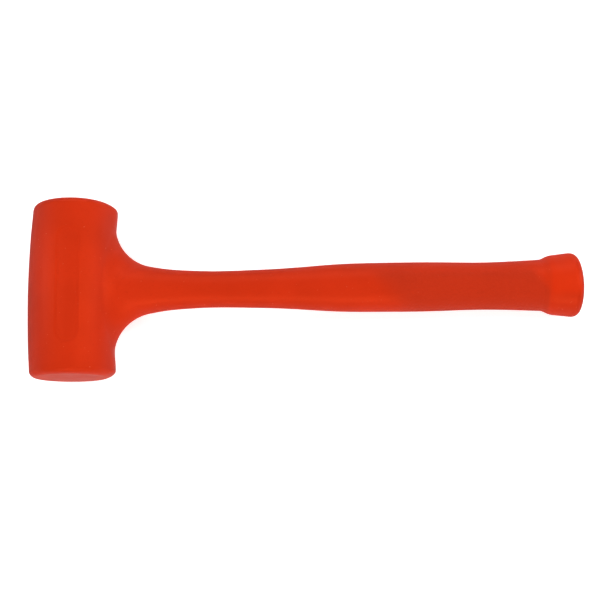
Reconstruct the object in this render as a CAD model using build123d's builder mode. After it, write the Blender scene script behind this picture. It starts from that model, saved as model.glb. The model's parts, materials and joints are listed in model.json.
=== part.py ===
from build123d import *
import os
from math import asin, atan2, cos, hypot, sin, sqrt

# Dead blow mallet, in millimetres: a steel core cast whole into one casing of urethane. The core is a canister
# of loose steel shot with a rod welded to its side. The mallet lies on a level surface, on the barrel of its
# head and on the rim of its butt, so its handle slopes down a little towards the butt. +X runs from the head to
# the butt, Y is the axis of the head, +Z is up, and the origin is under the middle of the bounding box.

# ---- Driving dimensions ----

# Head: a barrel, thickest in the middle
HEAD_LENGTH = 111.4
HEAD_MID_RADIUS = 28.0
HEAD_END_RADIUS = 25.7
FACE_EDGE_RADIUS = 4.5
NECK_BLEND_RADIUS = 27.5
PANEL_LENGTH = 72.0
PANEL_WIDTH = 13.2
PANEL_DEPTH = 0.4
PANEL_OFFSET = 0.9

# Handle: oval all along. Each section is (distance from the head's axis, half width along the head's axis).
OVALITY = 0.8
HANDLE_SECTIONS = [
    (8, 20.6),
    (30, 18.0),
    (44, 16.3),
    (54, 14.45),
    (72, 12.6),
    (90, 12.0),
    (110, 12.3),
    (130, 12.95),
    (150, 14.25),
    (170, 15.6),
    (190, 16.1),
    (215, 16.25),
    (238, 16.0),
    (257, 15.6),
    (275, 15.85),
    (290, 16.45),
    (300, 16.95),
]

# Butt: a flared knob with a shoulder and a domed end
BUTT_SECTIONS = [(300, 16.95), (303, 18.35), (306.5, 19.4), (314, 20.45), (332, 22.5)]
BUTT_RIM_DISTANCE = 319.0
BUTT_RIM_HALF_WIDTH = 21.0
BUTT_TIP_DISTANCE = 327.9
DOME_RADIUS = 50.0
DOME_EDGE_RADIUS = 4.5

# Canister: a steel tube, closed by a pressed cup welded into each end
TUBE_RADIUS = 21.0
TUBE_WALL = 2.0
TUBE_LENGTH = 86.0
CAP_DEPTH = 6.0
CAP_THICKNESS = 2.5
WELD_LEG = 1.2
WELD_CROWN = 0.6

# Shot: loose steel balls, in rings round a middle column
SHOT_RADIUS = 3.25
SHOT_GAP = 0.1
SHOT_WALL_GAP = 0.3
SHOT_LAYERS = 8
SHOT_LAYER_PITCH = 5.6
SHOT_RING_COUNTS = (14, 8)

# Rod, and the socket that joins it to the canister
ROD_RADIUS = 6.35
ROD_START = 24.0
ROD_END = 317.0
ROD_CHAMFER = 1.0
SOCKET_RADIUS = 10.0
SOCKET_END = 36.0
SOCKET_WELD_END = 25.0
SOCKET_WELD_SPREAD = 3.0
LOCKNUT_FLATS = 19.0
LOCKNUT_THICKNESS = 7.0

# Anchor that keeps the casing on the rod, in the butt
WASHER_RADIUS = 12.0
WASHER_THICKNESS = 2.5
ANCHOR_NUT_FLATS = 19.0
ANCHOR_NUT_THICKNESS = 8.0
NUT_CHAMFER = 0.9

# Spacers that held the core in the middle of the mould
ROD_SPACERS = {"neck": (112, 12.0), "grip": (205, 15.9), "butt": (282, 15.9)}
ROD_SPACER_THICKNESS = 5.0
ROD_SPACER_COVER = 1.3
ROD_SPACER_NOTCH_RADIUS = 3.2
CANISTER_SPACER_DISTANCE = 30.0
CANISTER_SPACER_THICKNESS = 5.0
CANISTER_SPACER_RING = 2.0
CANISTER_SPACER_LUG_RADIUS = 25.4
CANISTER_SPACER_LUG_WIDTH = 6.0
CANISTER_SPACER_LUGS = 6

# ---- Where everything stands ----

# The slope that brings the butt's rim down to the level of the head's underside
butt_rim_drop = BUTT_RIM_HALF_WIDTH * OVALITY
slope = asin(HEAD_MID_RADIUS / hypot(BUTT_RIM_DISTANCE, butt_rim_drop)) - atan2(butt_rim_drop, BUTT_RIM_DISTANCE)
butt_reach = (BUTT_TIP_DISTANCE - DOME_RADIUS) * cos(slope) + DOME_RADIUS
head_centre = Vector((HEAD_MID_RADIUS - butt_reach) / 2, 0, HEAD_MID_RADIUS)
handle_direction = Vector(cos(slope), 0, -sin(slope))
up_direction = Vector(sin(slope), 0, cos(slope))

head_axis = Axis(head_centre, (0, 1, 0))
handle_axis = Axis(head_centre, handle_direction)
# Profiles: x along the handle, y along the head. Cross-sections: across the handle, and across the head.
profile_plane = Plane(origin=head_centre, x_dir=handle_direction, z_dir=up_direction)
handle_plane = Plane(origin=head_centre, x_dir=(0, 1, 0), z_dir=handle_direction)
head_plane = Plane(origin=head_centre, x_dir=handle_direction, z_dir=(0, 1, 0))

tube_bore_radius = TUBE_RADIUS - TUBE_WALL
half_tube = TUBE_LENGTH / 2
# Inner faces of the two cups, between which the shot is free
half_cavity = half_tube - CAP_DEPTH

os.makedirs("parts", exist_ok=True)
core = []


def save(builder, name):
    builder.part.label = name
    export_step(builder.part, f"parts/{name}.step")


def finish_core_piece(builder, name):
    core.append(builder.part)
    save(builder, name)


# ---- Canister ----

with BuildPart() as canister_tube:
    with BuildSketch(head_plane.offset(-half_tube)):
        Circle(TUBE_RADIUS)
        Circle(tube_bore_radius, mode=Mode.SUBTRACT)
    extrude(amount=TUBE_LENGTH)
    outer_rims = canister_tube.edges().filter_by(GeomType.CIRCLE).group_by(SortBy.RADIUS)[-1]
    chamfer(outer_rims, WELD_LEG)
finish_core_piece(canister_tube, "canister_tube")


def canister_cap(end):
    """A pressed cup: its floor stands inside the tube, and its flange laps the tube's end."""
    floor = end * half_cavity
    floor_back = end * (half_cavity + CAP_THICKNESS)
    mouth = end * half_tube
    flange_back = end * (half_tube + CAP_THICKNESS)
    groove = end * (half_tube + WELD_LEG)
    cup_radius = tube_bore_radius - CAP_THICKNESS
    with BuildPart() as cap:
        with BuildSketch(profile_plane):
            with BuildLine():
                Polyline(
                    (0, floor),
                    (tube_bore_radius, floor),
                    (tube_bore_radius, mouth),
                    (TUBE_RADIUS - WELD_LEG, mouth),
                    (TUBE_RADIUS, groove),
                    (TUBE_RADIUS, flange_back),
                    (cup_radius, flange_back),
                    (cup_radius, floor_back),
                    (0, floor_back),
                    close=True,
                )
            make_face()
        revolve(axis=head_axis)
    return cap


def cap_weld(end):
    """A bead that fills the groove between the tube and the flange, and crowns a little above it."""
    mouth = end * half_tube
    tube_side = (TUBE_RADIUS, mouth - WELD_LEG)
    cap_side = (TUBE_RADIUS, mouth + WELD_LEG)
    with BuildPart() as weld:
        with BuildSketch(profile_plane):
            with BuildLine():
                ThreePointArc(tube_side, (TUBE_RADIUS + WELD_CROWN, mouth), cap_side)
                Polyline(cap_side, (TUBE_RADIUS - WELD_LEG, mouth), tube_side)
            make_face()
        revolve(axis=head_axis)
    return weld


def canister_spacer(end):
    """A ring round the tube with lugs that reach out towards the wall of the mould."""
    base = end * CANISTER_SPACER_DISTANCE - CANISTER_SPACER_THICKNESS / 2
    lug_inner = TUBE_RADIUS + CANISTER_SPACER_RING / 2
    lug_length = CANISTER_SPACER_LUG_RADIUS - lug_inner
    with BuildPart() as spacer:
        with BuildSketch(head_plane.offset(base)):
            Circle(TUBE_RADIUS + CANISTER_SPACER_RING)
            with PolarLocations((lug_inner + CANISTER_SPACER_LUG_RADIUS) / 2, CANISTER_SPACER_LUGS):
                Rectangle(lug_length, CANISTER_SPACER_LUG_WIDTH)
            Circle(TUBE_RADIUS, mode=Mode.SUBTRACT)
        extrude(amount=CANISTER_SPACER_THICKNESS)
    return spacer


for side, end in (("front", -1), ("rear", 1)):
    finish_core_piece(canister_cap(end), f"canister_cap_{side}")
    finish_core_piece(cap_weld(end), f"cap_weld_{side}")
    finish_core_piece(canister_spacer(end), f"canister_spacer_{side}")

# ---- Shot, gathered against the front cap ----

with BuildPart() as shot_charge:
    ball_step = 2 * SHOT_RADIUS + SHOT_GAP
    first_layer = -half_cavity + SHOT_WALL_GAP + SHOT_RADIUS
    outer_ring = tube_bore_radius - SHOT_WALL_GAP - SHOT_RADIUS
    charge_length = (SHOT_LAYERS - 1) * SHOT_LAYER_PITCH
    for layer in range(SHOT_LAYERS):
        with Locations(head_plane.offset(first_layer + layer * SHOT_LAYER_PITCH)):
            for ring, count in enumerate(SHOT_RING_COUNTS):
                # Each layer's balls stand over the gaps of the layer below
                half_turn = 180 / count * (layer % 2)
                with PolarLocations(outer_ring - ring * ball_step, count, start_angle=half_turn):
                    Sphere(SHOT_RADIUS)
    for ball in range(int(charge_length / ball_step) + 1):
        with Locations(head_plane.offset(first_layer + ball * ball_step)):
            Sphere(SHOT_RADIUS)
save(shot_charge, "shot_charge")
shot_travel = 2 * half_cavity - charge_length - 2 * (SHOT_RADIUS + SHOT_WALL_GAP)
print("balls of shot:", len(shot_charge.solids()), "free travel:", round(shot_travel, 3))

# ---- Socket, its weld and the rod ----

with BuildPart() as rod_socket:
    with BuildSketch(handle_plane):
        Circle(SOCKET_RADIUS)
    extrude(amount=SOCKET_END)
    with BuildSketch(head_plane.offset(-half_tube)):
        Circle(TUBE_RADIUS)
    extrude(amount=TUBE_LENGTH, mode=Mode.SUBTRACT)
    with BuildSketch(handle_plane.offset(ROD_START)):
        Circle(ROD_RADIUS)
    extrude(amount=SOCKET_END - ROD_START, mode=Mode.SUBTRACT)
finish_core_piece(rod_socket, "rod_socket")

with BuildPart() as socket_weld:
    # A collar that tapers onto the socket, cut away where it meets the tube
    weld_start = sqrt(TUBE_RADIUS**2 - (SOCKET_RADIUS + SOCKET_WELD_SPREAD) ** 2)
    with BuildSketch(profile_plane):
        with BuildLine():
            Polyline(
                (weld_start, SOCKET_RADIUS),
                (weld_start, SOCKET_RADIUS + SOCKET_WELD_SPREAD),
                (SOCKET_WELD_END, SOCKET_RADIUS),
                close=True,
            )
        make_face()
    revolve(axis=handle_axis)
    with BuildSketch(head_plane.offset(-half_tube)):
        Circle(TUBE_RADIUS)
    extrude(amount=TUBE_LENGTH, mode=Mode.SUBTRACT)
finish_core_piece(socket_weld, "socket_weld")

with BuildPart() as handle_rod:
    with BuildSketch(handle_plane.offset(ROD_START)):
        Circle(ROD_RADIUS)
    extrude(amount=ROD_END - ROD_START)
    chamfer(handle_rod.edges().filter_by(GeomType.CIRCLE).sort_by(handle_axis)[-1], ROD_CHAMFER)
finish_core_piece(handle_rod, "handle_rod")


def hex_nut(start, flats, thickness):
    """A hexagonal nut with both rims of its corners bevelled."""
    corner = flats / sqrt(3)
    with BuildPart() as nut:
        with BuildSketch(handle_plane.offset(start)):
            RegularPolygon(radius=corner, side_count=6)
        extrude(amount=thickness)
        with BuildSketch(handle_plane.offset(start)):
            Circle(corner)
        extrude(amount=thickness, mode=Mode.INTERSECT)
        with BuildSketch(profile_plane):
            with BuildLine():
                Polyline(
                    (start, 0),
                    (start, corner - NUT_CHAMFER),
                    (start + NUT_CHAMFER / 2, corner),
                    (start + thickness - NUT_CHAMFER / 2, corner),
                    (start + thickness, corner - NUT_CHAMFER),
                    (start + thickness, 0),
                    close=True,
                )
            make_face()
        revolve(axis=handle_axis, mode=Mode.INTERSECT)
        with BuildSketch(handle_plane.offset(start)):
            Circle(ROD_RADIUS)
        extrude(amount=thickness, mode=Mode.SUBTRACT)
    return nut


washer_start = ROD_END - ROD_CHAMFER - ANCHOR_NUT_THICKNESS - WASHER_THICKNESS
with BuildPart() as anchor_washer:
    with BuildSketch(handle_plane.offset(washer_start)):
        Circle(WASHER_RADIUS)
        Circle(ROD_RADIUS, mode=Mode.SUBTRACT)
    extrude(amount=WASHER_THICKNESS)
finish_core_piece(anchor_washer, "anchor_washer")

finish_core_piece(hex_nut(SOCKET_END, LOCKNUT_FLATS, LOCKNUT_THICKNESS), "rod_locknut")
anchor_nut_start = washer_start + WASHER_THICKNESS
finish_core_piece(hex_nut(anchor_nut_start, ANCHOR_NUT_FLATS, ANCHOR_NUT_THICKNESS), "anchor_nut")


def rod_spacer(distance, handle_half_width):
    """An oval disc on the rod, notched so that the urethane flows past it."""
    half_width = handle_half_width - ROD_SPACER_COVER
    half_thickness = handle_half_width * OVALITY - ROD_SPACER_COVER
    with BuildPart() as spacer:
        with BuildSketch(handle_plane.offset(distance - ROD_SPACER_THICKNESS / 2)):
            Ellipse(half_width, half_thickness)
            with GridLocations(2 * half_width * 0.72, 2 * half_thickness * 0.9, 2, 2):
                Circle(ROD_SPACER_NOTCH_RADIUS, mode=Mode.SUBTRACT)
            Circle(ROD_RADIUS, mode=Mode.SUBTRACT)
        extrude(amount=ROD_SPACER_THICKNESS)
    return spacer


for place, (distance, half_width) in ROD_SPACERS.items():
    finish_core_piece(rod_spacer(distance, half_width), f"rod_spacer_{place}")

# ---- Casing: head, handle and butt in one casting round the core ----

half_head = HEAD_LENGTH / 2


def barrel_profile(depth):
    """Half the head's outline, a given depth below its surface, from the head's axis to its bulging side."""
    front = (HEAD_END_RADIUS - depth, -half_head)
    back = (HEAD_END_RADIUS - depth, half_head)
    with BuildLine() as outline:
        ThreePointArc(front, (HEAD_MID_RADIUS - depth, 0), back)
        Polyline(back, (0, half_head), (0, -half_head), front)
    return outline.line


# A shallow panel with rounded ends, a little towards the handle, to be sunk evenly into the barrel's upper side
with BuildPart() as panel:
    with BuildSketch(profile_plane):
        with Locations((PANEL_OFFSET, 0)):
            SlotOverall(PANEL_LENGTH, PANEL_WIDTH, rotation=90)
    extrude(amount=2 * HEAD_MID_RADIUS)
    with BuildSketch(profile_plane):
        with BuildLine():
            add(barrel_profile(PANEL_DEPTH))
        make_face()
    revolve(axis=head_axis, mode=Mode.SUBTRACT)

with BuildPart() as butt:
    for distance, half_width in BUTT_SECTIONS:
        with BuildSketch(handle_plane.offset(distance)):
            Ellipse(half_width, half_width * OVALITY)
    loft()
    with Locations(handle_plane.offset(BUTT_TIP_DISTANCE - DOME_RADIUS)):
        Sphere(DOME_RADIUS, mode=Mode.INTERSECT)
    fillet(butt.edges(Select.NEW).sort_by(handle_axis)[-1], DOME_EDGE_RADIUS)

with BuildPart() as casing:
    with BuildSketch(profile_plane):
        with BuildLine():
            add(barrel_profile(0))
        make_face()
    revolve(axis=head_axis)
    face_rims = casing.edges().filter_by(GeomType.CIRCLE).group_by(Axis.Y)
    fillet(face_rims[0] + face_rims[-1], FACE_EDGE_RADIUS)
    for distance, half_width in HANDLE_SECTIONS:
        with BuildSketch(handle_plane.offset(distance)):
            Ellipse(half_width, half_width * OVALITY)
    loft()
    fillet(casing.edges(Select.NEW), NECK_BLEND_RADIUS)
    add(panel.part, mode=Mode.SUBTRACT)
    add(butt.part)
    # The core leaves its own shape inside, and the shot leaves the canister's hollow
    with BuildSketch(head_plane.offset(-half_cavity)):
        Circle(tube_bore_radius)
    extrude(amount=2 * half_cavity, mode=Mode.SUBTRACT)
    for piece in core:
        add(piece, mode=Mode.SUBTRACT)
save(casing, "casing")
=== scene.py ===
import json
from math import asin, cos, pi, radians, sin

import bmesh
import bpy
import numpy as np
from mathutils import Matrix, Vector, kdtree
from mathutils.geometry import delaunay_2d_cdt


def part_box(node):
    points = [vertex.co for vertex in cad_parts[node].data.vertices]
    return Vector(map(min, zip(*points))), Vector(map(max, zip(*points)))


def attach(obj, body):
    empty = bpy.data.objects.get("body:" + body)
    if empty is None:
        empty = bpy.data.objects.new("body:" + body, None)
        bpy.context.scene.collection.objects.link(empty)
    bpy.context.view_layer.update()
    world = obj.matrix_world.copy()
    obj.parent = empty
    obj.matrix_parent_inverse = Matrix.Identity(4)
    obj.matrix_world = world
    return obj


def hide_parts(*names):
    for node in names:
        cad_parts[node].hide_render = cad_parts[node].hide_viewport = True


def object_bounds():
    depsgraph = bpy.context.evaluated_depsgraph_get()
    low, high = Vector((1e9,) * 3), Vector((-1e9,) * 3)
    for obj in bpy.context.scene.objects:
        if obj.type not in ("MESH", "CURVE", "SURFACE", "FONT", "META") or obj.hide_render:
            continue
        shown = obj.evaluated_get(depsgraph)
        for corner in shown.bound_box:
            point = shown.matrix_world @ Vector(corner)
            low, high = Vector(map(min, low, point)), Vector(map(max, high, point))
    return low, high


# Dead blow mallet. The CAD model is loaded as a fixed frame. This script replaces its casing and its shot by
# finer meshes, gives every piece a procedural material, and sets a floor, soft lights and a camera.

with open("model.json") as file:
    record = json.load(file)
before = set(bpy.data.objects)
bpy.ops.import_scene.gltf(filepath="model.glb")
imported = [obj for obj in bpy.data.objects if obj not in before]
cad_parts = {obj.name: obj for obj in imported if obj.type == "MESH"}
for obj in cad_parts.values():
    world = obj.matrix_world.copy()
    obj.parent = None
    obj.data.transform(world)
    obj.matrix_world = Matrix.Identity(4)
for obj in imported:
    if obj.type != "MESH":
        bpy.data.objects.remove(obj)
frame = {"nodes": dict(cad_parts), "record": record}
cad_low, cad_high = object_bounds()

# ---- Driving dimensions and settings ----

# In millimetres, in the tool's frame: x along the handle, from the head's axis, y along the head, z up
MM = 0.001

# Head: a barrel with rounded rims, whose bulging side runs into the handle through a fillet, which is wider
# beside the handle than above and below it
HALF_HEAD = 55.7
HEAD_MID_RADIUS = 28.0
HEAD_END_RADIUS = 25.7
FACE_EDGE_RADIUS = 4.5
NECK_SIDE_BLEND = 27.5
NECK_TOP_BLEND = 16.0

# Panel: a sunk field with round ends, on the upper side of the barrel
PANEL_HALF_LENGTH = 36.0
PANEL_END_RADIUS = 6.6
PANEL_DEPTH = 0.4
PANEL_OFFSET = 0.9
PANEL_EDGE_WIDTH = 2.2

# Lips: the barrel swells a little towards both rims, on the side of the handle. The swelling grows from
# nothing above the head's axis to its full height a little beside it.
LIP_HEIGHT = 1.9
LIP_HALF_WIDTH = 13.0
LIP_START = 36.0
LIP_END = 53.0
LIP_SIDE_FADE = 10.0

# Handle: (distance from the head's axis, half width). It is an oval, flatter than it is wide.
OVALITY = 0.8
HANDLE_WIDTHS = [
    (8, 20.6),
    (30, 18.0),
    (44, 16.3),
    (54, 14.45),
    (63, 13.25),
    (72, 12.6),
    (90, 12.0),
    (110, 12.3),
    (130, 13.0),
    (150, 14.3),
    (170, 15.6),
    (190, 16.1),
    (215, 16.25),
    (238, 16.0),
    (257, 15.65),
    (275, 15.85),
    (290, 16.45),
    (302, 17.05),
]

# Butt: cubic curves from (distance, half width) to the next, each with its two control points: the shoulder,
# the flared side, the rounded rim and the domed end
BUTT_START = 299.5
BUTT_CURVES = [
    [(299.5, 16.88), (302.6, 17.22), (303.6, 19.3), (308.5, 19.85)],
    [(308.5, 19.85), (311.5, 20.19), (315.0, 20.6), (318.5, 21.0)],
    [(318.5, 21.0), (321.2, 21.3), (323.5, 20.5), (324.8, 17.9)],
    [(324.8, 17.9), (325.9, 15.7), (327.9, 7.5), (327.9, 0.4)],
]

# Skin: a faint seam where the two halves of the mould met, and a slow unevenness. The seam fades out within
# these distances from a striking face and from the butt's dome.
SEAM_HEIGHT = 0.12
SEAM_WIDTH = 0.4
SEAM_FADE_AT_FACE = (4, 7)
SEAM_FADE_AT_DOME = (0, 4)
UNEVENNESS = 0.05

# Grip: a long field with a fine moulded texture. Both its ends slant across the handle, and it stops at the
# butt's shoulder. It thins out over a stretch, in shares of the half width, next to the handle's rear edge.
GRIP_START = 189.0
GRIP_START_FADE = 20.0
GRIP_END = 304.0
GRIP_END_FADE = 9.0
GRIP_SLANT = 0.8
SHOULDER = 304.5
SHOULDER_FADE = 2.5
GRIP_THINNING = 0.75
GRIP_THINNING_STRETCH = (0.3, 0.65)

# Mesh density: counts, and spacings over the barrel
COLUMNS = 192
COLUMN_CROWDING = 0.3
BARREL_SPACING = 1.2
BARREL_CLEARANCE = 0.6 * BARREL_SPACING
BARREL_BORDER_ROWS = 90
PANEL_SPACING = 0.7
PANEL_END_POINTS = 40
PANEL_RING_OFFSETS = np.linspace(-1.2, 1.2, 9)
NECK_RING_OFFSETS = (0.5, 1.1, 1.9)
SEAM_COLUMN_OFFSETS = (0.2, 0.4, 0.65, 0.95)
SEAM_START_BESIDE_NECK = 2.2
NECK_ROWS = 26
HANDLE_ROWS = 190
BUTT_ROWS_PER_CURVE = 14
RIM_ROWS = 9
FACE_ROWS = 20

# Shot: loose steel balls, dented by up to twice this share of their radius
BALL_COUNT = 182
BALL_RADIUS = 3.25
BALL_DENT = 0.006
BALL_CELLS = 8

# The values from here to the camera's are in metres and watts, in the imported model's frame

# Painted highlight and wear: the last stretch of the butt is painted brighter, a painted highlight on its top
# and rear. That fades in along the handle, and fades out over a stretch of y towards the front. The scuffs on
# a striking face begin at the first distance in from the head's end, and are full at the second.
PAINTED_HIGHLIGHT_LENGTH = 0.0245
PAINTED_HIGHLIGHT_FADE = 0.003
PAINTED_HIGHLIGHT_FRONT = (-0.011, -0.005)
SCUFF_REACH = (0.0014, 0.0004)

# Grain: the pebbles of the grip, and how much longer than wide the streaks on drawn steel are
PEBBLES_PER_METRE = 720.0
STREAK_STRETCH = 30

# Stage: a round floor, and the bowl that rises round it
FLOOR_RADIUS = 1.3
BACKDROP_RADIUS = 4.0
BACKDROP_HEIGHT = 3.0
STAGE_COLUMNS = 96
BACKDROP_ROWS = 24
FLOOR_GLOW = 0.58
BACKDROP_GLOW = 1.1

# Light: a soft box is (place, the point that it looks at, size, watts). The world's glow goes from the
# ground's to the sky's between these two heights of a direction, of which -1 is straight down.
SOFT_BOXES = {
    "left_box": ((-1.0, 0.25, 1.0), (0, 0.1, 0), (0.35, 1.5), 5.6),
    "right_box": ((1.0, 0.25, 1.0), (0, 0.1, 0), (0.35, 1.5), 8.4),
    "front_box": ((0, -1.0, 0.75), (0, 0, 0), (1.5, 0.45), 10.5),
    "back_box": ((0, 1.0, 0.8), (0, 0, 0), (1.5, 0.45), 7.0),
}
GROUND_GLOW = 0.42
GROUND_HEIGHT = -0.96
SKY_GLOW = 0.14
SKY_HEIGHT = -0.76

# Camera: it looks from high up, turned a little off the head's axis, at a point given from the head's middle.
# Only its lens is in millimetres.
CAMERA_DISTANCE = 0.6688
CAMERA_ELEVATION = radians(79.21)
CAMERA_TURN = radians(1.131)
CAMERA_LENS = 63.09
AIM_BEYOND_HEAD = 0.1445
AIM_BESIDE_HANDLE = -0.0086

# ---- The tool's frame, from the CAD ----

tube_low, tube_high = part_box("canister_tube")
head_centre = (tube_low + tube_high) / 2
grip_mount = next(mount for mount in frame["record"]["mounts"] if mount["name"] == "grip")
handle_direction = Vector(grip_mount["axis"]).normalized()
head_direction = Vector((0, 1, 0))
up_direction = handle_direction.cross(head_direction)
tool_axes = np.array([handle_direction, head_direction, up_direction])


def to_row_frame(points):
    """Points in the tool's frame, in millimetres, as points in the row frame, in metres."""
    return np.array(head_centre) + points @ tool_axes * MM


# ---- Curves and surfaces of the casing ----


def smooth_curve(sections):
    """A function through (place, value) sections, with no kink and no jump in its curvature."""
    places, values = np.array(sections, float).T
    spans = np.diff(places)
    system = np.diag(np.r_[1, 2 * (spans[:-1] + spans[1:]), 1])
    system += np.diag(np.r_[spans[:-1], 0], -1) + np.diag(np.r_[0, spans[1:]], 1)
    bends = np.linalg.solve(system, np.r_[0, 6 * np.diff(np.diff(values) / spans), 0])

    def value(place):
        span = np.clip(np.searchsorted(places, place) - 1, 0, len(spans) - 1)
        before = place - places[span]
        after = places[span + 1] - place
        width = spans[span]
        bent = (bends[span] * after**3 + bends[span + 1] * before**3) / (6 * width)
        from_left = (values[span] / width - bends[span] * width / 6) * after
        from_right = (values[span + 1] / width - bends[span + 1] * width / 6) * before
        return bent + from_left + from_right

    return value


handle_width = smooth_curve(HANDLE_WIDTHS)

# The barrel's side is an arc about a centre on the far side of the head's axis
barrel_bulge = HEAD_MID_RADIUS - HEAD_END_RADIUS
side_radius = (HALF_HEAD**2 + barrel_bulge**2) / (2 * barrel_bulge)
side_centre = HEAD_MID_RADIUS - side_radius
rim_centre_y = HALF_HEAD - FACE_EDGE_RADIUS
rim_start_angle = asin(rim_centre_y / (side_radius - FACE_EDGE_RADIUS))
rim_centre_radius = side_centre + (side_radius - FACE_EDGE_RADIUS) * cos(rim_start_angle)
side_end = rim_centre_y + FACE_EDGE_RADIUS * sin(rim_start_angle)


def barrel_radius(y):
    return side_centre + np.sqrt(side_radius**2 - y**2)


def barrel_side(y, angle):
    """The barrel's side. The angle turns from the handle's direction up towards +z."""
    radius = barrel_radius(y)
    return np.stack([radius * np.cos(angle), y, radius * np.sin(angle)], -1)


def rim(end):
    """The rounded rim at one end of the barrel, from its side, 0, to its striking face, 1."""

    def surface(turn, angle):
        tilt = rim_start_angle + turn * (pi / 2 - rim_start_angle)
        radius = rim_centre_radius + FACE_EDGE_RADIUS * np.cos(tilt)
        y = end * (rim_centre_y + FACE_EDGE_RADIUS * np.sin(tilt))
        return np.stack([radius * np.cos(angle), y, radius * np.sin(angle)], -1)

    return surface


def striking_face(end):
    """The flat disc inside a rim, from its edge, 0, to its middle, 1."""

    def surface(inward, angle):
        radius = rim_centre_radius * (1 - inward)
        y = np.full_like(radius, end * HALF_HEAD)
        return np.stack([radius * np.cos(angle), y, radius * np.sin(angle)], -1)

    return surface


def oval(turn, x, width):
    """Points round the handle: turn 0 is its +y side."""
    return np.stack([x, width * np.cos(turn), OVALITY * width * np.sin(turn)], -1)


def handle_side(turn, x):
    return oval(turn, x, handle_width(x))


def outward(surface, u, v):
    """Unit normals of a surface, whose parameters are ordered so that these point out of the casing."""
    step = 1e-4
    along_u = surface(u + step, v) - surface(u - step, v)
    along_v = surface(u, v + step) - surface(u, v - step)
    normal = np.cross(along_u, along_v)
    return normal / np.linalg.norm(normal, axis=-1, keepdims=True)


def neck_blend(turn):
    """The fillet's radius round the handle."""
    return (NECK_TOP_BLEND + (NECK_SIDE_BLEND - NECK_TOP_BLEND) * np.cos(turn) ** 2)[..., None]


HALVINGS = 40
known_ball_centres = {}


def ball_centre(turn):
    """The ball that rolls in the corner between handle and barrel: its centre, and where it touches each."""
    key = turn.tobytes()
    if key not in known_ball_centres:
        known_ball_centres[key] = find_ball_centre(turn)
    return known_ball_centres[key]


def find_ball_centre(turn):
    """Finds by halving the place on the handle where a ball that touches it also touches the barrel."""
    blend = neck_blend(turn)
    # One end of the search lies inside the barrel, the other farther out than any fillet reaches
    near = np.full_like(turn, HEAD_MID_RADIUS * 0.8)
    far = np.full_like(turn, HEAD_MID_RADIUS + 2 * NECK_SIDE_BLEND)
    for _ in range(HALVINGS):
        middle = (near + far) / 2
        centre = handle_side(turn, middle) + blend * outward(handle_side, turn, middle)
        from_axis = np.hypot(centre[..., 0], centre[..., 2]) - side_centre
        too_near = np.hypot(from_axis, centre[..., 1]) < side_radius + blend[..., 0]
        near = np.where(too_near, middle, near)
        far = np.where(too_near, far, middle)
    radial = np.hypot(centre[..., 0], centre[..., 2])
    reach = np.hypot(radial - side_centre, centre[..., 1])
    touch_radial = side_centre + (radial - side_centre) * side_radius / reach
    on_barrel = np.stack(
        [
            centre[..., 0] * touch_radial / radial,
            centre[..., 1] * side_radius / reach,
            centre[..., 2] * touch_radial / radial,
        ],
        -1,
    )
    return centre, on_barrel, handle_side(turn, middle)


def neck_fillet(turn, share):
    """The fillet, an arc from the barrel, share 0, to the handle, share 1."""
    centre, on_barrel, on_handle = ball_centre(turn)
    from_barrel = on_barrel - centre
    from_handle = on_handle - centre
    cosine = np.sum(from_barrel * from_handle, -1, keepdims=True) / neck_blend(turn) ** 2
    swing = np.arccos(cosine)
    share = share[..., None]
    arc = np.sin((1 - share) * swing) * from_barrel + np.sin(share * swing) * from_handle
    return centre + arc / np.sin(swing)


def handle(turn, share):
    """The handle's side, from the end of the fillet, share 0, to the butt, share 1."""
    start = ball_centre(turn)[2][..., 0]
    return handle_side(turn, start + share * (BUTT_START - start))


def butt(turn, place):
    """The butt: the whole part of the place counts the curves, and the rest runs along one of them."""
    curves = np.array(BUTT_CURVES)
    index = np.clip(np.floor(place).astype(int), 0, len(curves) - 1)
    done = (place - index)[..., None]
    left = 1 - done
    start, first_control, second_control, end = np.moveaxis(curves[index], -2, 0)
    outer_terms = left**3 * start + done**3 * end
    inner_terms = 3 * left**2 * done * first_control + 3 * left * done**2 * second_control
    profile = outer_terms + inner_terms
    return oval(turn, profile[..., 0], profile[..., 1])


# ---- Relief: what stands out of these surfaces or is sunk into them ----


def smooth_step(value, low, high):
    """0 below low, 1 above high, and a soft ramp between."""
    share = np.clip((value - low) / (high - low), 0, 1)
    return share**2 * (3 - 2 * share)


def relief(points):
    """Height above the plain surface, at points on it. It never lifts the seam out of the CAD's box."""
    x, y, z = np.moveaxis(points, -1, 0)
    from_face = HALF_HEAD - np.abs(y)
    dome_start = BUTT_CURVES[-1][0][0]
    seam = np.exp(-((z / SEAM_WIDTH) ** 2))
    seam = seam * smooth_step(from_face, *SEAM_FADE_AT_FACE) * smooth_step(dome_start - x, *SEAM_FADE_AT_DOME)
    beyond_ends = np.maximum(np.abs(y) - (PANEL_HALF_LENGTH - PANEL_END_RADIUS), 0)
    beyond_panel = np.hypot(x - PANEL_OFFSET, beyond_ends) - PANEL_END_RADIUS
    panel = 1 - smooth_step(beyond_panel, -PANEL_EDGE_WIDTH / 2, PANEL_EDGE_WIDTH / 2)
    panel = np.where(z > 0, panel, 0)
    lip = smooth_step(np.abs(y), LIP_START, LIP_END) * smooth_step(from_face, 0, FACE_EDGE_RADIUS)
    lip = lip * smooth_step(x, 0, LIP_SIDE_FADE) * np.exp(-((z / LIP_HALF_WIDTH) ** 2))
    # Two pairs of waves, 40 to 83 mm long, that cross at odd angles
    one_pair = np.sin(x / 9 + y / 14) * np.sin(y / 8 - z / 11 + 1)
    other_pair = np.sin(x / 21 - y / 17 + 2) * np.sin(z / 7 + x / 15)
    waves = one_pair + other_pair
    swell = SEAM_HEIGHT * (seam - 1) + LIP_HEIGHT * lip + UNEVENNESS * (waves / 2 - 1)
    return swell - PANEL_DEPTH * panel


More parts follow.
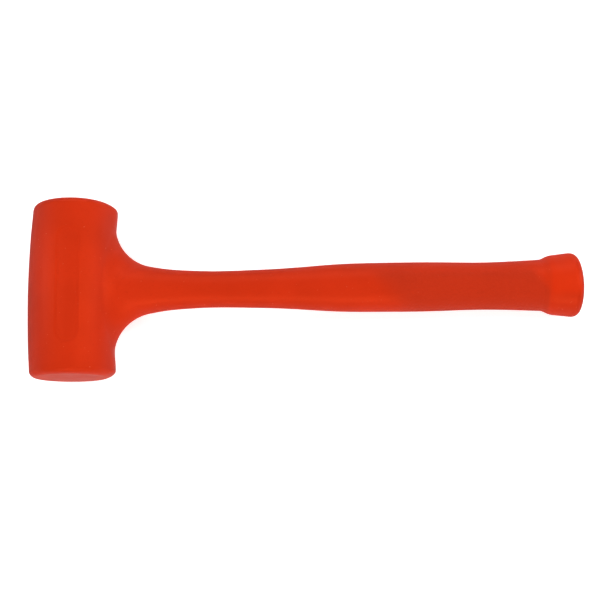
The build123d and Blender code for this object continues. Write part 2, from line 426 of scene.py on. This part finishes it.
def with_relief(surface, u, v, facing=1):
    """Points of the surface with its relief, and the normals there."""

    def raised(u, v):
        base = surface(u, v)
        return base + facing * outward(surface, u, v) * relief(base)[..., None]

    return raised(u, v), facing * outward(raised, u, v)


# ---- Casing ----


class Skin:
    """Vertices, normals and faces as they are made. A ring is an array of vertex numbers, one per column."""

    def __init__(self):
        self.points = np.zeros((0, 3))
        self.normals = np.zeros((0, 3))
        self.faces = []

    def add(self, points, normals):
        first = len(self.points)
        self.points = np.vstack([self.points, points])
        self.normals = np.vstack([self.normals, normals])
        return np.arange(first, len(self.points))

    def bridge(self, ring, next_ring):
        quads = np.stack([ring, np.roll(ring, -1), np.roll(next_ring, -1), next_ring], 1)
        self.faces.extend(quads.tolist())

    def close(self, ring, point, normal):
        tip = self.add(np.array([point]), np.array([normal]))[0]
        self.faces.extend([a, b, tip] for a, b in zip(ring.tolist(), np.roll(ring, -1).tolist()))

    def continue_with(self, ring, places_on_surface):
        """Adds one ring after another, each (points, normals), and returns the last."""
        for points, normals in places_on_surface:
            next_ring = self.add(points, normals)
            self.bridge(ring, next_ring)
            ring = next_ring
        return ring


# Columns stand closer together at the seam, on both sides of the handle
even_turns = np.arange(COLUMNS) * 2 * pi / COLUMNS
handle_turns = even_turns - COLUMN_CROWDING * np.sin(2 * even_turns)
barrel_angles = even_turns - pi


def panel_outline(offset):
    """The panel's outline seen from above, moved out by an offset, as (y, angle round the barrel)."""
    radius = PANEL_END_RADIUS + offset
    straight = PANEL_HALF_LENGTH - PANEL_END_RADIUS
    along = np.arange(-straight, straight, PANEL_SPACING)
    round_end = np.linspace(0, pi, PANEL_END_POINTS)
    x = np.r_[np.full(len(along), radius), radius * np.cos(round_end)]
    y = np.r_[along, straight + radius * np.sin(round_end)]
    x, y = PANEL_OFFSET + np.r_[x, -x], np.r_[y, -y]
    return np.stack([y, np.arccos(x / barrel_radius(y))], 1)


def straight_line(y, angle):
    """Places along or round the barrel: one of the two is an array, the other a number."""
    return np.stack(np.broadcast_arrays(y, angle), 1)


def barrel_places(neck_edge):
    """The special places on the unrolled barrel, as (y, arc length), and how many are in each named part.

    The named parts are the border's two ends and two sides, and the neck's edge. Rings at the panel's edge
    and round the neck follow, and columns along the seam.
    """
    girth = np.array([1, HEAD_MID_RADIUS])
    rows = np.linspace(-side_end, side_end, BARREL_BORDER_ROWS)[1:-1]
    border_ends = [straight_line(y, np.r_[barrel_angles, pi]) for y in (-side_end, side_end)]
    border_sides = [straight_line(rows, angle) for angle in (-pi, pi)]
    named = border_ends + border_sides + [neck_edge]
    rings = [panel_outline(offset) for offset in PANEL_RING_OFFSETS]
    reach = np.hypot(neck_edge[:, 0], HEAD_MID_RADIUS * neck_edge[:, 1])[:, None]
    rings += [neck_edge * (1 + offset / reach) for offset in NECK_RING_OFFSETS]
    for offset in SEAM_COLUMN_OFFSETS:
        rings += [straight_line(rows, side * (pi - offset / HEAD_MID_RADIUS)) for side in (-1, 1)]
    outer_rows = rows[np.abs(rows) > np.abs(neck_edge[:, 0]).max() + SEAM_START_BESIDE_NECK]
    low_offsets = [-offset for offset in reversed(SEAM_COLUMN_OFFSETS)]
    for offset in (*low_offsets, 0, *SEAM_COLUMN_OFFSETS):
        rings.append(straight_line(outer_rows, offset / HEAD_MID_RADIUS))
    special = np.vstack(named + rings) * girth
    return [len(part) for part in named], special


def grid_places(special, neck_edge):
    """An even grid over the unrolled barrel, kept off the special places and off the neck."""
    y = np.arange(-side_end, side_end, BARREL_SPACING)
    arc = np.arange(-pi * HEAD_MID_RADIUS, pi * HEAD_MID_RADIUS, BARREL_SPACING)
    grid = np.stack(np.meshgrid(y, arc, indexing="ij"), -1)
    # Every other row is moved by half a step, so that the triangles are even
    grid[::2, :, 1] += BARREL_SPACING / 2
    grid = grid.reshape(-1, 2)
    edge = neck_edge * np.array([1, HEAD_MID_RADIUS])
    edge_angle = np.arctan2(edge[:, 1], edge[:, 0])
    order = np.argsort(edge_angle)
    reach = np.interp(
        np.arctan2(grid[:, 1], grid[:, 0]), edge_angle[order], np.hypot(*edge[order].T), period=2 * pi
    )
    grid = grid[(np.hypot(*grid.T) > reach) & (np.abs(grid[:, 1]) < pi * HEAD_MID_RADIUS)]
    tree = kdtree.KDTree(len(special))
    for number, place in enumerate(special):
        tree.insert((*place, 0), number)
    tree.balance()
    free = [tree.find((*place, 0))[2] > BARREL_CLEARANCE for place in grid]
    return grid[free]


def add_barrel(skin):
    """The barrel's side round the neck. Returns its two end rings and the ring where the neck begins."""
    _, on_barrel, _ = ball_centre(handle_turns)
    neck_edge = np.stack([on_barrel[:, 1], np.arctan2(on_barrel[:, 2], on_barrel[:, 0])], 1)
    counts, special = barrel_places(neck_edge)
    places = np.vstack([special, grid_places(special, neck_edge)])
    starts = np.cumsum([0] + counts)
    front, back, low_side, high_side, neck = (np.arange(a, b) for a, b in zip(starts, starts[1:]))
    neck_border = np.stack([neck, np.roll(neck, -1)], 1).tolist()
    flat_places = [Vector(place) for place in places]
    whole_hull, tolerance = 0, 1e-6
    _, _, triangles, origins, _, _ = delaunay_2d_cdt(flat_places, neck_border, [], whole_hull, tolerance)
    # Both long borders are the same line on the barrel
    same = np.arange(len(places))
    same[high_side] = low_side
    same[front[-1]] = front[0]
    same[back[-1]] = back[0]
    original = same[[origin[0] for origin in origins]]
    points, normals = with_relief(barrel_side, places[:, 0], places[:, 1] / HEAD_MID_RADIUS)
    first = skin.add(points, normals)[0]
    in_neck = set(neck.tolist())
    for triangle in triangles:
        corners = original[list(triangle)].tolist()
        if not in_neck.issuperset(corners):
            skin.faces.append([first + corner for corner in corners])
    return first + front[:-1], first + back[:-1], first + neck


def rings_on(surface, places, columns, places_first=False, facing=1):
    """One ring for each place along a surface, which takes the columns first unless places_first."""
    for place in places:
        along = np.full(len(columns), float(place))
        parameters = (along, columns) if places_first else (columns, along)
        yield with_relief(surface, *parameters, facing)


def casing_skin():
    skin = Skin()
    front, back, neck = add_barrel(skin)
    for end, ring in ((-1, front), (1, back)):
        ring = skin.continue_with(
            ring, rings_on(rim(end), np.linspace(0, 1, RIM_ROWS + 1)[1:], barrel_angles, True, end)
        )
        inward = np.linspace(0, 1, FACE_ROWS + 1)[1:-1]
        ring = skin.continue_with(ring, rings_on(striking_face(end), inward, barrel_angles, True, end))
        middle = np.array([0, end * (HALF_HEAD - SEAM_HEIGHT - UNEVENNESS), 0])
        skin.close(ring, middle, (0, end, 0))
    ring = skin.continue_with(neck, rings_on(neck_fillet, np.linspace(0, 1, NECK_ROWS + 1)[1:], handle_turns))
    ring = skin.continue_with(ring, rings_on(handle, np.linspace(0, 1, HANDLE_ROWS + 1)[1:], handle_turns))
    rows = BUTT_ROWS_PER_CURVE * len(BUTT_CURVES)
    places = np.linspace(0, len(BUTT_CURVES), rows + 1)[1:]
    ring = skin.continue_with(ring, rings_on(butt, places, handle_turns))
    tip = np.array([BUTT_CURVES[-1][-1][0] - SEAM_HEIGHT - UNEVENNESS, 0, 0])
    skin.close(ring, tip, (1, 0, 0))
    return skin


def cavity_walls():
    """The inner walls of the CAD casing, which no edge joins to its outside, as points and faces."""
    walls = bmesh.new()
    walls.from_mesh(frame["nodes"]["casing"].data)
    bmesh.ops.remove_doubles(walls, verts=walls.verts, dist=1e-7)
    front = [min(walls.verts, key=lambda vertex: vertex.co.x)]
    outside = set(front)
    while front:
        neighbours = {edge.other_vert(vertex) for vertex in front for edge in vertex.link_edges}
        front = list(neighbours - outside)
        outside.update(front)
    bmesh.ops.delete(walls, geom=list(outside), context="VERTS")
    walls.verts.index_update()
    points = np.array([vertex.co for vertex in walls.verts])
    faces = [[vertex.index for vertex in face.verts] for face in walls.faces]
    walls.free()
    return points, faces


def face_outward(points, normals, faces):
    """Turns round each face that looks against its first vertex's normal."""
    corners = np.array([face[:3] for face in faces])
    a, b, c = points[corners[:, 0]], points[corners[:, 1]], points[corners[:, 2]]
    looks_in = np.sum(np.cross(b - a, c - a) * normals[corners[:, 0]], 1) < 0
    return [face[::-1] if turned else face for face, turned in zip(faces, looks_in)]


def grip_share(points):
    """How far each point belongs to the textured grip, from 0 to 1."""
    x, y, _ = points.T
    slanted = x + GRIP_SLANT * y
    after_start = smooth_step(slanted - GRIP_START, 0, GRIP_START_FADE)
    before_end = smooth_step(GRIP_END - slanted, 0, GRIP_END_FADE)
    before_shoulder = smooth_step(SHOULDER - x, 0, SHOULDER_FADE)
    rear_edge = smooth_step(y / handle_width(x), *GRIP_THINNING_STRETCH)
    return after_start * before_end * before_shoulder * (1 - GRIP_THINNING * rear_edge)


def new_object(name, mesh):
    piece = bpy.data.objects.new(name, mesh)
    bpy.context.scene.collection.objects.link(piece)
    return piece


def make_casing():
    skin = casing_skin()
    outer = to_row_frame(skin.points)
    outer_normals = skin.normals @ tool_axes
    outer_faces = face_outward(outer, outer_normals, skin.faces)
    inner, inner_faces = cavity_walls()
    faces = outer_faces + [[len(outer) + corner for corner in face] for face in inner_faces]
    mesh = bpy.data.meshes.new("casing_skin")
    mesh.from_pydata(np.vstack([outer, inner]).tolist(), [], faces)
    mesh.polygons.foreach_set("use_smooth", np.arange(len(faces)) < len(outer_faces))
    # A zero normal leaves the inner walls with their own
    mesh.normals_split_custom_set_from_vertices(np.vstack([outer_normals, np.zeros_like(inner)]).tolist())
    casing = new_object("casing_skin", mesh)
    grip = grip_share(skin.points)
    attribute = mesh.attributes.new("grip", "FLOAT", "POINT")
    attribute.data.foreach_set("value", np.r_[grip, np.zeros(len(inner))].astype(np.float32))
    return casing


# ---- Shot ----


def ball_mesh():
    """A ball of six bulged grids, so that its faces are even, as points and quads."""
    ticks = np.tan(np.linspace(-pi / 4, pi / 4, BALL_CELLS + 1))
    cube = bmesh.new()
    bmesh.ops.create_cube(cube, size=2)
    bmesh.ops.subdivide_edges(cube, edges=cube.edges, cuts=BALL_CELLS - 1, use_grid_fill=True)
    cube.verts.index_update()
    flat = np.array([vertex.co for vertex in cube.verts])
    even = np.linspace(-1, 1, BALL_CELLS + 1)
    bulged = np.interp(flat, even, ticks)
    quads = np.array([[vertex.index for vertex in face.verts] for face in cube.faces])
    cube.free()
    return bulged / np.linalg.norm(bulged, axis=1, keepdims=True), quads


def make_shot():
    """Every ball of the CAD's shot again, each a little uneven in its own way."""
    cad_mesh = frame["nodes"]["shot_charge"].data
    corners = np.zeros(len(cad_mesh.vertices) * 3, np.float32)
    cad_mesh.vertices.foreach_get("co", corners)
    cad_balls = corners.reshape(BALL_COUNT, -1, 3)
    centres = (cad_balls.min(1) + cad_balls.max(1)) / 2
    directions, quads = ball_mesh()
    points, faces = [], []
    for number, centre in enumerate(centres):
        # Two waves across the ball, shifted by its number
        dents = np.sin(directions @ (3, 5, 4) + number) * np.sin(directions @ (-5, 2, 6) + 2 * number)
        radius = BALL_RADIUS * MM * (1 - BALL_DENT * (1 + dents[:, None]))
        faces.extend((quads + number * len(directions)).tolist())
        points.append(centre + directions * radius)
    mesh = bpy.data.meshes.new("shot_balls")
    mesh.from_pydata(np.vstack(points).tolist(), [], faces)
    mesh.polygons.foreach_set("use_smooth", np.ones(len(faces), bool))
    return new_object("shot_balls", mesh)


# ---- Materials ----


class Material:
    """A node material, built node by node. An input is a number, a colour or another node's output."""

    def __init__(self, name, roughness, metallic=0.0):
        self.material = bpy.data.materials.new(name)
        self.material.use_nodes = True
        self.nodes = self.material.node_tree.nodes
        self.links = self.material.node_tree.links
        self.shader = self.nodes["Principled BSDF"]
        self.shader.inputs["Roughness"].default_value = roughness
        self.shader.inputs["Metallic"].default_value = metallic
        self.place = self.add("ShaderNodeTexCoord").outputs["Object"]

    def fill(self, socket, value):
        if isinstance(value, bpy.types.NodeSocket):
            self.links.new(value, socket)
        elif isinstance(value, tuple) and len(value) == 3 and socket.type == "RGBA":
            socket.default_value = (*value, 1)
        else:
            socket.default_value = value

    def add(self, kind, inputs=None, **settings):
        node = self.nodes.new(kind)
        for setting, value in settings.items():
            setattr(node, setting, value)
        for name, value in (inputs or {}).items():
            self.fill(node.inputs[name], value)
        return node

    def noise(self, size, detail, stretch=(1, 1, 1)):
        """A noise whose cells are about size metres, longer along the axes whose stretch is larger."""
        scale = tuple(1 / (size * each) for each in stretch)
        place = self.add("ShaderNodeMapping", {"Vector": self.place, "Scale": scale}).outputs["Vector"]
        inputs = {"Vector": place, "Scale": 1.0, "Detail": detail}
        return self.add("ShaderNodeTexNoise", inputs).outputs["Fac"]

    def ramp(self, value, low, high, to_low=0.0, to_high=1.0):
        """The value, spread from (low, high) over (to_low, to_high)."""
        inputs = {"Value": value, "From Min": low, "From Max": high, "To Min": to_low, "To Max": to_high}
        return self.add("ShaderNodeMapRange", inputs, interpolation_type="SMOOTHSTEP").outputs["Result"]

    def mixed(self, share, first, second):
        """From the first colour to the second as share goes from 0 to 1."""
        node = self.add("ShaderNodeMix", data_type="RGBA")
        # Its sockets for colours go by number, because those for numbers and vectors have the same names
        self.fill(node.inputs[0], share)
        self.fill(node.inputs[6], first)
        self.fill(node.inputs[7], second)
        return node.outputs[2]

    def math(self, operation, first, second=0.0):
        node = self.add("ShaderNodeMath", operation=operation)
        self.fill(node.inputs[0], first)
        self.fill(node.inputs[1], second)
        return node.outputs[0]

    def bump(self, height, depth, normal=None):
        """A bump of that depth in metres, over the normal of another."""
        inputs = {"Height": height, "Distance": depth, "Strength": 1.0}
        if normal is not None:
            inputs["Normal"] = normal
        return self.add("ShaderNodeBump", inputs).outputs["Normal"]

    def finish(self, colour, roughness=None, normal=None):
        self.fill(self.shader.inputs["Base Color"], colour)
        if roughness is not None:
            self.fill(self.shader.inputs["Roughness"], roughness)
        if normal is not None:
            self.fill(self.shader.inputs["Normal"], normal)
        return self.material


# The urethane's colours: its slow clouds, then what is laid over them
CLOUD_DEEP = (0.575, 0.0285, 0.0058)
CLOUD_PALE = (0.625, 0.0312, 0.0064)
FLECK_RED = (0.5, 0.024, 0.005)
SPECK_RED = (0.75, 0.14, 0.08)
# Painted highlight: the colour that makes the butt's top and rear look lit brighter
PAINTED_HIGHLIGHT_RED = (0.67, 0.0315, 0.0055)
GRIP_RED = (0.47, 0.029, 0.009)
SCUFFED_RED = (0.68, 0.07, 0.035)


def urethane():
    """Cast urethane: orange-red, satin, mottled, scuffed on its faces, finely pebbled on the grip, with a
    painted highlight on the butt.
    """
    m = Material("urethane", roughness=0.4)
    m.shader.inputs["Specular IOR Level"].default_value = 0.35
    m.shader.inputs["Specular Tint"].default_value = (1, 0.1, 0.02, 1)
    grip = m.add("ShaderNodeAttribute", attribute_name="grip").outputs["Fac"]
    position = m.add("ShaderNodeSeparateXYZ", {"Vector": m.place}).outputs
    # Slow clouds, small darker flecks and a few pale specks
    cloud = m.ramp(m.noise(size=0.045, detail=3), 0.35, 0.65)
    colour = m.mixed(cloud, CLOUD_DEEP, CLOUD_PALE)
    fleck = m.ramp(m.noise(size=0.0014, detail=3), 0.56, 0.72, to_high=0.3)
    colour = m.mixed(fleck, colour, FLECK_RED)
    speck = m.ramp(m.noise(size=0.0013, detail=1), 0.76, 0.8, to_high=0.6)
    colour = m.mixed(speck, colour, SPECK_RED)
    # The butt is painted brighter, a painted highlight on its top and rear, but not on its front
    butt_start = cad_high.x - PAINTED_HIGHLIGHT_LENGTH
    on_butt = m.ramp(position["X"], butt_start, butt_start + PAINTED_HIGHLIGHT_FADE)
    painted_highlight = m.math("MULTIPLY", on_butt, m.ramp(position["Y"], *PAINTED_HIGHLIGHT_FRONT))
    colour = m.mixed(painted_highlight, colour, PAINTED_HIGHLIGHT_RED)
    colour = m.mixed(m.math("MULTIPLY", grip, 0.7), colour, GRIP_RED)
    # The striking faces are scuffed and dented
    scuff_start, scuff_full = (cad_high.y - reach for reach in SCUFF_REACH)
    struck = m.ramp(m.math("ABSOLUTE", position["Y"]), scuff_start, scuff_full)
    dents = m.noise(size=0.004, detail=5)
    scuffed = m.math("MULTIPLY", struck, m.ramp(dents, 0.3, 0.7, to_low=0.3, to_high=0.55))
    colour = m.mixed(scuffed, colour, SCUFFED_RED)
    # The grip and the scuffs are duller than the rest
    gloss = m.ramp(m.noise(size=0.012, detail=3), 0.3, 0.7, to_low=0.32, to_high=0.39)
    gloss = m.math("ADD", gloss, m.math("MULTIPLY", grip, 0.26))
    gloss = m.math("ADD", gloss, m.math("MULTIPLY", scuffed, 0.2))
    # A fine grain from the mould, under the dents and the grip's pebbles
    cast = m.bump(m.noise(size=0.0009, detail=3), depth=0.00004)
    battered = m.bump(m.math("MULTIPLY", struck, dents), depth=0.0001, normal=cast)
    inputs = {"Vector": m.place, "Scale": PEBBLES_PER_METRE}
    cells = m.add("ShaderNodeTexVoronoi", inputs, feature="SMOOTH_F1").outputs["Distance"]
    pebbles = m.math("MULTIPLY", m.ramp(cells, 0.1, 0.8, to_low=1, to_high=0), grip)
    return m.finish(colour, gloss, m.bump(pebbles, depth=0.00012, normal=battered))


DULL_FILM = (0.24, 0.21, 0.18)
RUST_SPOT = (0.16, 0.09, 0.05)


def drawn_steel(name, colour, roughness, along):
    """Steel drawn along one axis: fine streaks along it, a dull film and a few darker spots."""
    m = Material(name, roughness, metallic=1.0)
    stretch = tuple(STREAK_STRETCH if axis == along else 1 for axis in range(3))
    streaks = m.noise(size=0.0004, detail=3, stretch=stretch)
    film = m.ramp(m.noise(size=0.011, detail=4), 0.4, 0.7)
    spots = m.ramp(m.noise(size=0.003, detail=5), 0.62, 0.72)
    darker, lighter = (tuple(factor * channel for channel in colour) for factor in (0.85, 1.12))
    shade = m.mixed(streaks, darker, lighter)
    shade = m.mixed(m.math("MULTIPLY", film, 0.35), shade, DULL_FILM)
    shade = m.mixed(m.math("MULTIPLY", spots, 0.5), shade, RUST_SPOT)
    gloss = m.ramp(film, 0, 1, to_low=roughness, to_high=roughness + 0.15)
    gloss = m.math("ADD", gloss, m.math("MULTIPLY", streaks, 0.08))
    return m.finish(shade, gloss, m.bump(streaks, depth=0.00002))


OXIDE_GREY = (0.16, 0.15, 0.16)
STRAW_TINT = (0.34, 0.27, 0.17)
BLUE_TINT = (0.13, 0.16, 0.24)


def weld_steel():
    """Weld beads: dark, oxidised, with straw and blue heat tints and a lumpy skin."""
    m = Material("weld_steel", roughness=0.5, metallic=1.0)
    tint = m.noise(size=0.006, detail=3)
    shade = m.mixed(m.ramp(tint, 0.35, 0.55), OXIDE_GREY, STRAW_TINT)
    shade = m.mixed(m.ramp(tint, 0.55, 0.7), shade, BLUE_TINT)
    lumps = m.noise(size=0.0011, detail=4)
    gloss = m.ramp(lumps, 0.3, 0.7, to_low=0.4, to_high=0.62)
    return m.finish(shade, gloss, m.bump(lumps, depth=0.00015))


SHOT_DARK = (0.38, 0.38, 0.40)
SHOT_PALE = (0.60, 0.60, 0.61)
SHOT_PIT = (0.2, 0.19, 0.18)


def shot_steel():
    """Tumbled steel balls: grey, dulled, with darker pits."""
    m = Material("shot_steel", roughness=0.38, metallic=1.0)
    shade = m.mixed(m.noise(size=0.002, detail=4), SHOT_DARK, SHOT_PALE)
    pits = m.ramp(m.noise(size=0.0007, detail=3), 0.6, 0.7)
    shade = m.mixed(m.math("MULTIPLY", pits, 0.6), shade, SHOT_PIT)
    gloss = m.ramp(pits, 0, 1, to_low=0.32, to_high=0.6)
    return m.finish(shade, gloss, m.bump(pits, depth=-0.00002))


ZINC_COOL = (0.52, 0.53, 0.54)
ZINC_WARM = (0.66, 0.65, 0.60)


def fastener_steel():
    """Zinc plate: pale, slightly cloudy, with a fine crystal grain."""
    m = Material("fastener_steel", roughness=0.3, metallic=1.0)
    shade = m.mixed(m.noise(size=0.004, detail=4), ZINC_COOL, ZINC_WARM)
    grain = m.noise(size=0.0003, detail=2)
    gloss = m.ramp(grain, 0.2, 0.8, to_low=0.24, to_high=0.42)
    return m.finish(shade, gloss, m.bump(grain, depth=0.00001))


PLASTIC_DEEP = (0.56, 0.05, 0.015)
PLASTIC_PALE = (0.68, 0.07, 0.025)


def spacer_plastic():
    """Moulded plastic in the casing's colour: matt, with a fine grain."""
    m = Material("spacer_plastic", roughness=0.55)
    shade = m.mixed(m.noise(size=0.005, detail=3), PLASTIC_DEEP, PLASTIC_PALE)
    grain = m.noise(size=0.0005, detail=3)
    gloss = m.ramp(grain, 0.3, 0.7, to_low=0.5, to_high=0.62)
    return m.finish(shade, gloss, m.bump(grain, depth=0.00003))


PAINT_GREY = (0.93, 0.93, 0.93)
PAINT_WHITE = (0.95, 0.95, 0.95)


def stage_paint(name, glow):
    """Plain, pale paint that glows a little."""
    m = Material(name, roughness=0.7)
    shade = m.mixed(m.noise(size=0.2, detail=2), PAINT_GREY, PAINT_WHITE)
    m.shader.inputs["Specular IOR Level"].default_value = 0.1
    m.shader.inputs["Emission Color"].default_value = (1, 1, 1, 1)
    m.shader.inputs["Emission Strength"].default_value = glow
    return m.finish(shade)


def assign(piece, material):
    piece.data.materials.clear()
    piece.data.materials.append(material)


CANISTER_STEEL = (0.42, 0.42, 0.43)
ROD_STEEL = (0.36, 0.36, 0.38)
HEAD_AXIS, HANDLE_AXIS = 1, 0
finishes = {
    "canister_steel": drawn_steel("canister_steel", CANISTER_STEEL, roughness=0.34, along=HEAD_AXIS),
    "weld_steel": weld_steel(),
    "shot_steel": shot_steel(),
    "rod_steel": drawn_steel("rod_steel", ROD_STEEL, roughness=0.3, along=HANDLE_AXIS),
    "fastener_steel": fastener_steel(),
    "spacer_plastic": spacer_plastic(),
    "urethane": urethane(),
}
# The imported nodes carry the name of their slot
for node in frame["nodes"].values():
    slot_name = node.data.materials[0].name.split(".")[0]
    node.material_slots[0].material = finishes[slot_name]

casing = make_casing()
assign(casing, finishes["urethane"])
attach(casing, "mallet")
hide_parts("casing")

shot = make_shot()
assign(shot, finishes["shot_steel"])
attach(shot, "shot")
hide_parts("shot_charge")

# ---- Stage, light and camera ----


def make_floor():
    """A round floor, and a white bowl that rises round it, which only the camera sees."""
    turns = np.arange(STAGE_COLUMNS) * 2 * pi / STAGE_COLUMNS
    circle = np.stack([np.cos(turns), np.sin(turns), np.zeros(STAGE_COLUMNS)], 1)
    floor_mesh = bpy.data.meshes.new("floor")
    floor_mesh.from_pydata((circle * FLOOR_RADIUS).tolist(), [], [list(range(STAGE_COLUMNS))])
    rings = []
    for rise in np.linspace(0, pi / 2, BACKDROP_ROWS + 1):
        radius = FLOOR_RADIUS + (BACKDROP_RADIUS - FLOOR_RADIUS) * sin(rise)
        rings.append(circle * radius + np.array([0, 0, BACKDROP_HEIGHT * (1 - cos(rise))]))
    numbers = np.arange(len(rings) * STAGE_COLUMNS).reshape(len(rings), -1)
    corners = [numbers[:-1], numbers[1:], np.roll(numbers[1:], -1, 1), np.roll(numbers[:-1], -1, 1)]
    bowl_mesh = bpy.data.meshes.new("backdrop")
    bowl_mesh.from_pydata(np.vstack(rings).tolist(), [], np.stack(corners, -1).reshape(-1, 4).tolist())
    for name, mesh, glow in (("floor", floor_mesh, FLOOR_GLOW), ("backdrop", bowl_mesh, BACKDROP_GLOW)):
        surface = new_object(name, mesh)
        surface.location.z = cad_low.z
        # The skin mirrors the world under the horizon in place of the bright stage
        surface.visible_glossy = False
        surface.visible_diffuse = name == "floor"
        assign(surface, stage_paint(name, glow))


def soft_box(name, place, aim, size, watts):
    """A rectangular lamp that looks at a point."""
    lamp = bpy.data.lights.new(name, "AREA")
    lamp.shape = "RECTANGLE"
    lamp.size, lamp.size_y = size
    lamp.energy = watts
    box = new_object(name, lamp)
    box.location = place
    box.rotation_euler = (Vector(aim) - Vector(place)).to_track_quat("-Z", "Y").to_euler()


def make_lights():
    world = bpy.data.worlds.new("studio")
    world.use_nodes = True
    nodes, links = world.node_tree.nodes, world.node_tree.links
    background = nodes["Background"]
    background.inputs["Color"].default_value = (1, 1, 1, 1)
    # It glows most straight below, where the skin would mirror the floor next to it
    direction = nodes.new("ShaderNodeSeparateXYZ")
    links.new(nodes.new("ShaderNodeTexCoord").outputs["Generated"], direction.inputs["Vector"])
    glow = nodes.new("ShaderNodeMapRange")
    glow.inputs["From Min"].default_value = GROUND_HEIGHT
    glow.inputs["From Max"].default_value = SKY_HEIGHT
    glow.inputs["To Min"].default_value = GROUND_GLOW
    glow.inputs["To Max"].default_value = SKY_GLOW
    links.new(direction.outputs["Z"], glow.inputs["Value"])
    links.new(glow.outputs["Result"], background.inputs["Strength"])
    bpy.context.scene.world = world
    for name, settings in SOFT_BOXES.items():
        soft_box(name, *settings)


def make_camera():
    camera = new_object("camera", bpy.data.cameras.new("camera"))
    camera.data.lens = CAMERA_LENS
    tilt = pi / 2 - CAMERA_ELEVATION
    camera.rotation_euler = (tilt, 0, -CAMERA_TURN)
    back = Vector((-sin(tilt) * sin(CAMERA_TURN), -sin(tilt) * cos(CAMERA_TURN), cos(tilt)))
    aim = head_centre + Vector((AIM_BEYOND_HEAD, AIM_BESIDE_HANDLE, 0))
    camera.location = aim + back * CAMERA_DISTANCE
    camera.data.clip_start = 0.01
    bpy.context.scene.camera = camera


make_floor()
make_lights()
make_camera()
bpy.context.scene.view_settings.view_transform = "Standard"
